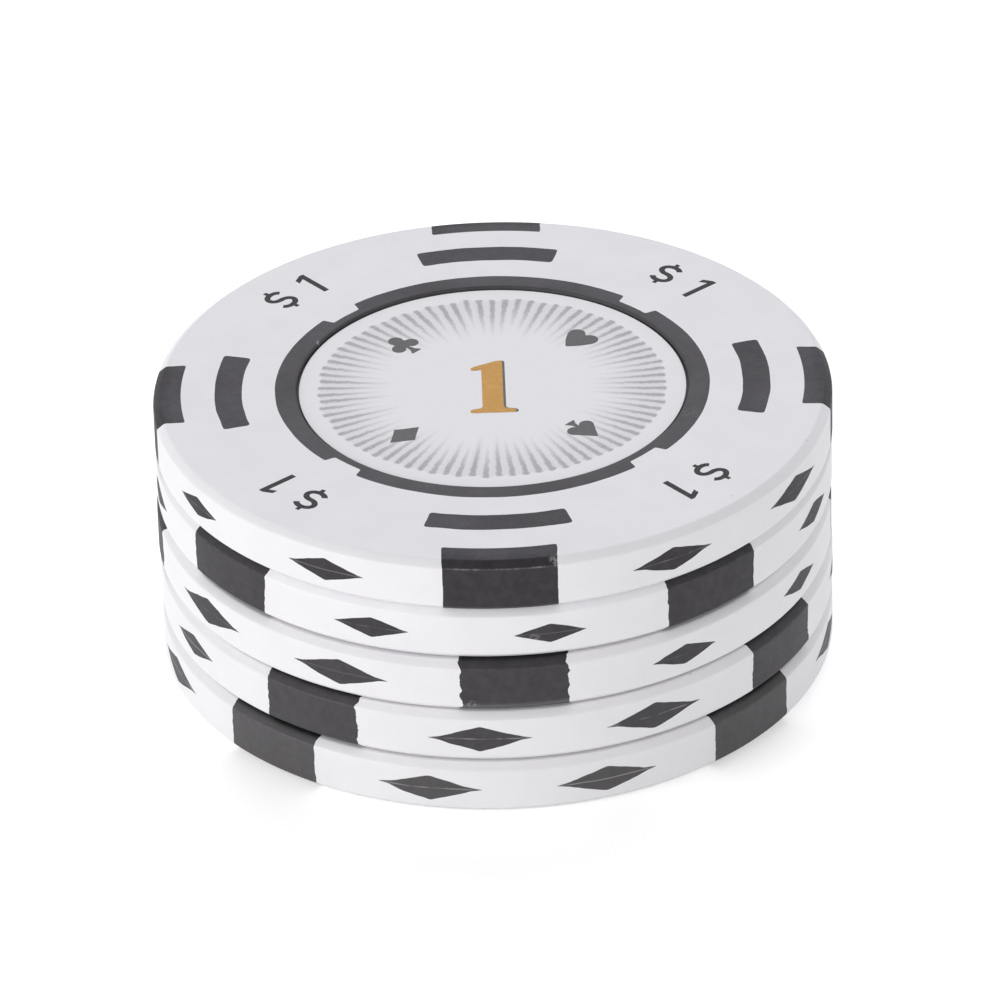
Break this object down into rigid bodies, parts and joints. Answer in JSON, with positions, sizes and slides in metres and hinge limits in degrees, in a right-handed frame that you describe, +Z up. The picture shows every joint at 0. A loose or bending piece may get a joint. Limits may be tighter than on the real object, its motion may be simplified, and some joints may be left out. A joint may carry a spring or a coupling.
{
  "type": "stack of poker chips",
  "caption": "Stack of round two-colour poker chips with steel inserts, dark rim spots and diamonds and a recessed label on each face; each chip lifts off the one below.",
  "frame": {"origin": "middle of the lowest chip's lower face, on the surface that the stack stands on", "axes": "+Z up through the stack, -Y towards the viewer of the picture, +X to the right"},
  "size_m": [0.04, 0.0404, 0.017],
  "materials": {
    "white_plastic": "white clay-filled moulded plastic with a soft satin face",
    "dark_plastic": "charcoal clay-filled moulded plastic with a satin face and light scuffs",
    "slug_steel": "blanked mild steel",
    "label_film": "printed satin film, light grey with fine grey rays"
  },
  "bodies": {
    "chip_1": {"chip_1_steel_slug": "slug_steel", "chip_1_accent_core": "dark_plastic", "chip_1_white_body": "white_plastic", "chip_1_top_label": "label_film", "chip_1_bottom_label": "label_film"},
    "chip_2": {"chip_2_steel_slug": "slug_steel", "chip_2_accent_core": "dark_plastic", "chip_2_white_body": "white_plastic", "chip_2_top_label": "label_film", "chip_2_bottom_label": "label_film"},
    "chip_3": {"chip_3_steel_slug": "slug_steel", "chip_3_accent_core": "dark_plastic", "chip_3_white_body": "white_plastic", "chip_3_top_label": "label_film", "chip_3_bottom_label": "label_film"},
    "chip_4": {"chip_4_steel_slug": "slug_steel", "chip_4_accent_core": "dark_plastic", "chip_4_white_body": "white_plastic", "chip_4_top_label": "label_film", "chip_4_bottom_label": "label_film"},
    "chip_5": {"chip_5_steel_slug": "slug_steel", "chip_5_accent_core": "dark_plastic", "chip_5_white_body": "white_plastic", "chip_5_top_label": "label_film", "chip_5_bottom_label": "label_film"}
  },
  "joints": [
    {"name": "chip_2_lift", "type": "slide", "parent": "chip_1", "child": "chip_2", "axis": [0, 0, 1], "range_m": [0, 0.02]},
    {"name": "chip_3_lift", "type": "slide", "parent": "chip_2", "child": "chip_3", "axis": [0, 0, 1], "range_m": [0, 0.02]},
    {"name": "chip_4_lift", "type": "slide", "parent": "chip_3", "child": "chip_4", "axis": [0, 0, 1], "range_m": [0, 0.02]},
    {"name": "chip_5_lift", "type": "slide", "parent": "chip_4", "child": "chip_5", "axis": [0, 0, 1], "range_m": [0, 0.02]}
  ]
}
